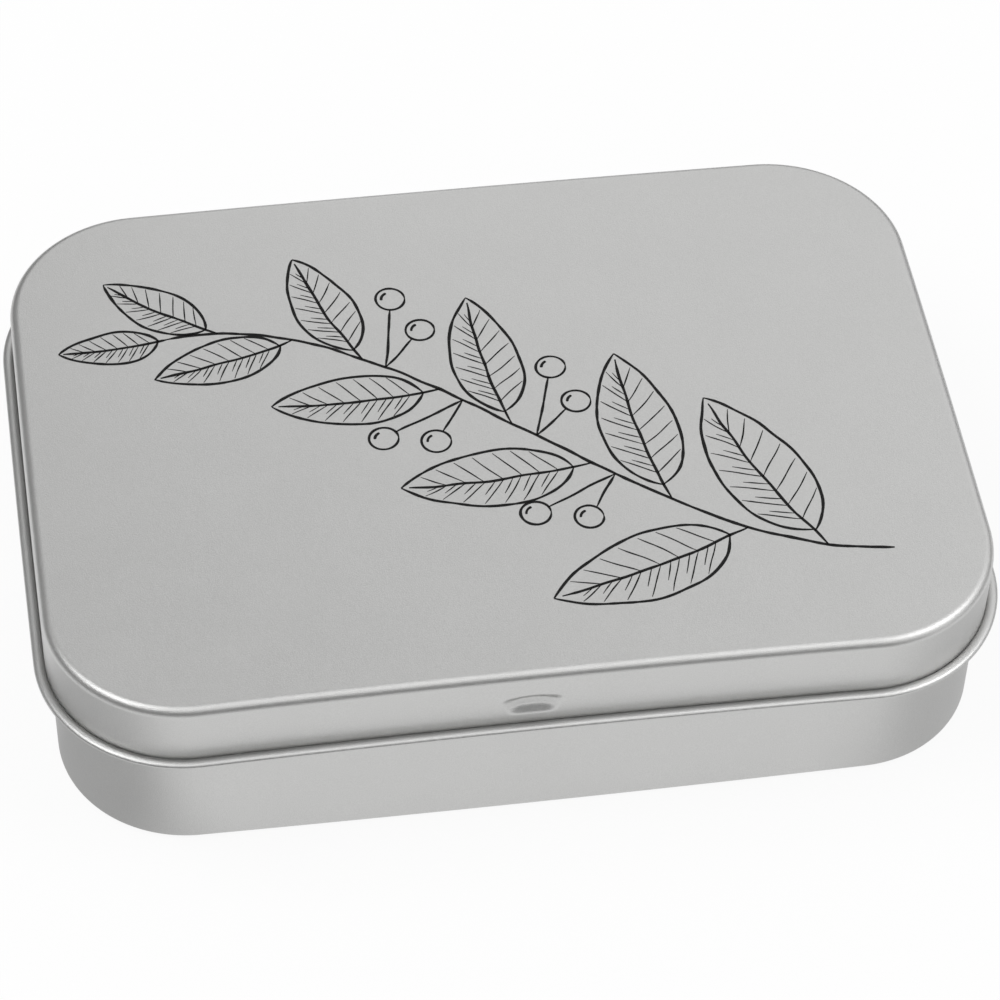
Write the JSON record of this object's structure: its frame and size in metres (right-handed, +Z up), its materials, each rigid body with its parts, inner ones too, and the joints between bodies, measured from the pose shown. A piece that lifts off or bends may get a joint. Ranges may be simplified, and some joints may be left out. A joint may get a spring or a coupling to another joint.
{
  "type": "hinged tin",
  "caption": "Shallow rectangular tinplate tin with rounded corners and a wire-hinged slip lid that opens from the front.",
  "frame": {"origin": "under the middle of the closed tin's overall box, on the surface that it stands on", "axes": "+X along the long side and the hinge, +Y towards the hinge side, +Z up through the lid"},
  "size_m": [0.11, 0.0801, 0.0235],
  "materials": {
    "base_tinplate": "bare tinplate with a fine matt stone finish, drawn and curled",
    "lid_tinplate": "bare tinplate with a fine matt stone finish, printed with a thin black line drawing",
    "steel_wire": "bright drawn steel wire"
  },
  "bodies": {
    "base": {"base_shell": "base_tinplate", "hinge_wire_left": "steel_wire", "hinge_wire_right": "steel_wire"},
    "lid": {"lid_shell": "lid_tinplate"}
  },
  "joints": [
    {"name": "lid_hinge", "type": "hinge", "parent": "base", "child": "lid", "pos_m": [0, 0.0393, 0.01536], "axis": [-1, 0, 0], "range_deg": [0, 110]}
  ]
}
